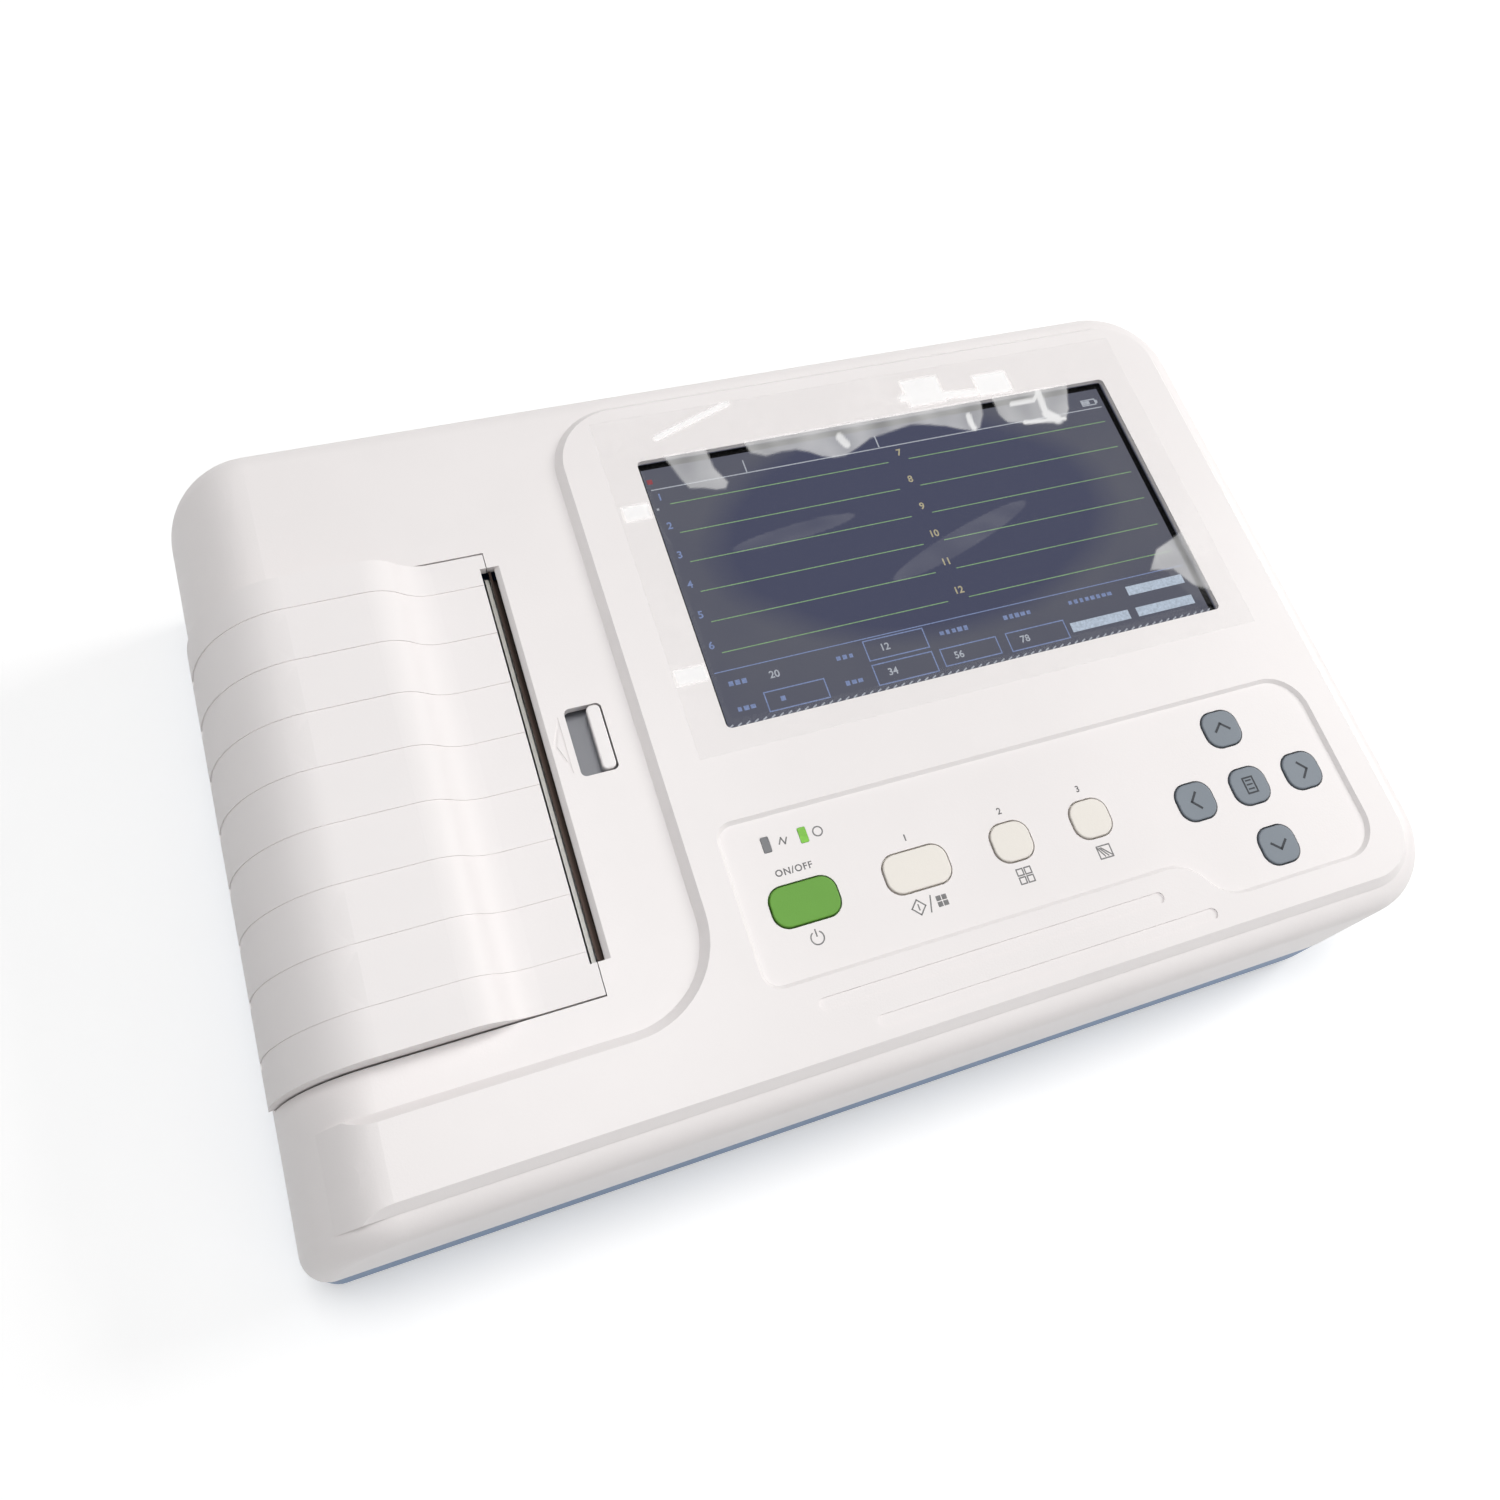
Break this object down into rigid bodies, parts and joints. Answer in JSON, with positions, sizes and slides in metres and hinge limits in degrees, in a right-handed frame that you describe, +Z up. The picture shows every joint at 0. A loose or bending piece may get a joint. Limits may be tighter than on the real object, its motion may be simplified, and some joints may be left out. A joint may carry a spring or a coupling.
{
  "type": "electrocardiograph",
  "caption": "Desktop ECG machine: wedge-shaped white case on a blue tray, recessed display with film, key panel, and a hinged paper door over a strip printer with a sliding latch",
  "frame": {"origin": "on the table under the middle of the case", "axes": "+Z up, +X to the right along the front edge, +Y towards the back"},
  "size_m": [0.3168, 0.2096, 0.0764],
  "materials": {
    "case_white": "fine textured warm white moulding",
    "door_white": "smooth warm white moulding",
    "tray_blue": "fine textured steel-blue moulding",
    "key_green": "soft matt green key",
    "key_pale": "soft matt cream key",
    "key_slate": "soft matt slate key",
    "knob_white": "smooth warm white moulding",
    "screen_glass": "clear display glass",
    "panel_dark": "dark display panel",
    "film_clear": "clear protective film with wrinkles",
    "rubber_dark": "dark rubber",
    "mat_grey": "grey silicone",
    "steel": "plated steel",
    "aluminium": "bare aluminium",
    "head_ceramic": "ceramic substrate",
    "brass": "turned brass",
    "board_green": "green circuit board",
    "black_plastic": "black moulding",
    "gear_nylon": "natural nylon",
    "paper_white": "thermal paper",
    "core_card": "card tube",
    "battery_wrap": "shrink wrap",
    "lens_grey": "dark lens",
    "lens_green": "green lens"
  },
  "bodies": {
    "base": {"battery_cover": "tray_blue", "battery_cover_screws": "steel", "battery_pack": "battery_wrap", "board_screws": "steel", "bottom_case": "tray_blue", "case_screws": "steel", "charge_lens": "lens_green", "chassis_screws": "steel", "display_bracket": "steel", "display_gasket": "rubber_dark", "display_panel": "panel_dark", "display_window": "screen_glass", "earth_stud": "brass", "earth_stud_nut": "brass", "feed_motor": "black_plastic", "head_heat_sink": "aluminium", "head_springs": "steel", "hinge_pin": "steel", "idler_pin": "steel", "key_board": "board_green", "keypad_mat": "mat_grey", "latch_spring": "steel", "lead_board": "board_green", "lead_jack_posts": "steel", "lead_socket": "black_plastic", "main_board": "board_green", "mains_inlet": "black_plastic", "mains_lens": "lens_grey", "motor_screws": "steel", "print_head": "head_ceramic", "printer_chassis": "black_plastic", "protective_film": "film_clear", "rubber_feet": "rubber_dark", "speaker": "black_plastic", "supply_board": "board_green", "tear_bar": "steel", "top_case": "case_white", "usb_socket": "black_plastic"},
    "paper_door": {"paper_door": "door_white", "platen_bushes": "gear_nylon"},
    "platen": {"platen_shaft": "steel", "platen_rubber": "rubber_dark", "platen_gear": "gear_nylon"},
    "paper_roll": {"paper_roll": "paper_white", "roll_core": "core_card", "paper_spindle": "black_plastic"},
    "idler": {"idler_gear": "gear_nylon"},
    "motor_drive": {"motor_shaft": "steel", "motor_pinion": "brass"},
    "latch": {"latch_knob": "knob_white", "latch_yoke": "steel"},
    "power_key": {"power_key": "key_green"},
    "start_key": {"start_key": "key_pale"},
    "mode_key": {"mode_key": "key_pale"},
    "print_key": {"print_key": "key_pale"},
    "left_key": {"left_key": "key_slate"},
    "right_key": {"right_key": "key_slate"},
    "up_key": {"up_key": "key_slate"},
    "down_key": {"down_key": "key_slate"},
    "menu_key": {"menu_key": "key_slate"}
  },
  "joints": [
    {"name": "door_hinge", "type": "hinge", "parent": "base", "child": "paper_door", "pos_m": [-0.1535, -0.00098, 0.03182], "axis": [0, -0.9969, -0.0785], "range_deg": [0, 85]},
    {"name": "platen_turn", "type": "hinge", "parent": "paper_door", "child": "platen", "pos_m": [-0.0821, 0.00075, 0.05453], "axis": [0, 0.9969, 0.0785], "continuous": true},
    {"name": "idler_turn", "type": "hinge", "parent": "base", "child": "idler", "pos_m": [-0.07759, -0.05894, 0.03548], "axis": [0, 0.9969, 0.0785], "continuous": true},
    {"name": "motor_turn", "type": "hinge", "parent": "base", "child": "motor_drive", "pos_m": [-0.07097, -0.05804, 0.02404], "axis": [0, 0.9969, 0.0785], "continuous": true},
    {"name": "roll_turn", "type": "hinge", "parent": "base", "child": "paper_roll", "pos_m": [-0.119, -0.00141, 0.03982], "axis": [0, 0.9969, 0.0785], "continuous": true},
    {"name": "latch_slide", "type": "slide", "parent": "base", "child": "latch", "axis": [-1, 0, 0], "range_m": [0, 0.004], "stiffness_N_per_m": 250, "springref_m": -0.002, "deforming": ["latch_spring"]},
    {"name": "power_key_press", "type": "slide", "parent": "base", "child": "power_key", "axis": [0, 0.0785, -0.9969], "range_m": [0, 0.0012], "stiffness_N_per_m": 400, "springref_m": -0.001},
    {"name": "start_key_press", "type": "slide", "parent": "base", "child": "start_key", "axis": [0, 0.0785, -0.9969], "range_m": [0, 0.0012], "stiffness_N_per_m": 400, "springref_m": -0.001},
    {"name": "mode_key_press", "type": "slide", "parent": "base", "child": "mode_key", "axis": [0, 0.0785, -0.9969], "range_m": [0, 0.0012], "stiffness_N_per_m": 400, "springref_m": -0.001},
    {"name": "print_key_press", "type": "slide", "parent": "base", "child": "print_key", "axis": [0, 0.0785, -0.9969], "range_m": [0, 0.0012], "stiffness_N_per_m": 400, "springref_m": -0.001},
    {"name": "left_key_press", "type": "slide", "parent": "base", "child": "left_key", "axis": [0, 0.0785, -0.9969], "range_m": [0, 0.0012], "stiffness_N_per_m": 400, "springref_m": -0.001},
    {"name": "right_key_press", "type": "slide", "parent": "base", "child": "right_key", "axis": [0, 0.0785, -0.9969], "range_m": [0, 0.0012], "stiffness_N_per_m": 400, "springref_m": -0.001},
    {"name": "up_key_press", "type": "slide", "parent": "base", "child": "up_key", "axis": [0, 0.0785, -0.9969], "range_m": [0, 0.0012], "stiffness_N_per_m": 400, "springref_m": -0.001},
    {"name": "down_key_press", "type": "slide", "parent": "base", "child": "down_key", "axis": [0, 0.0785, -0.9969], "range_m": [0, 0.0012], "stiffness_N_per_m": 400, "springref_m": -0.001},
    {"name": "menu_key_press", "type": "slide", "parent": "base", "child": "menu_key", "axis": [0, 0.0785, -0.9969], "range_m": [0, 0.0012], "stiffness_N_per_m": 400, "springref_m": -0.001}
  ],
  "couplings": [
    {"joint": "idler_turn", "follows": "platen_turn", "ratio": -0.66667},
    {"joint": "motor_turn", "follows": "platen_turn", "ratio": 1.4118}
  ]
}
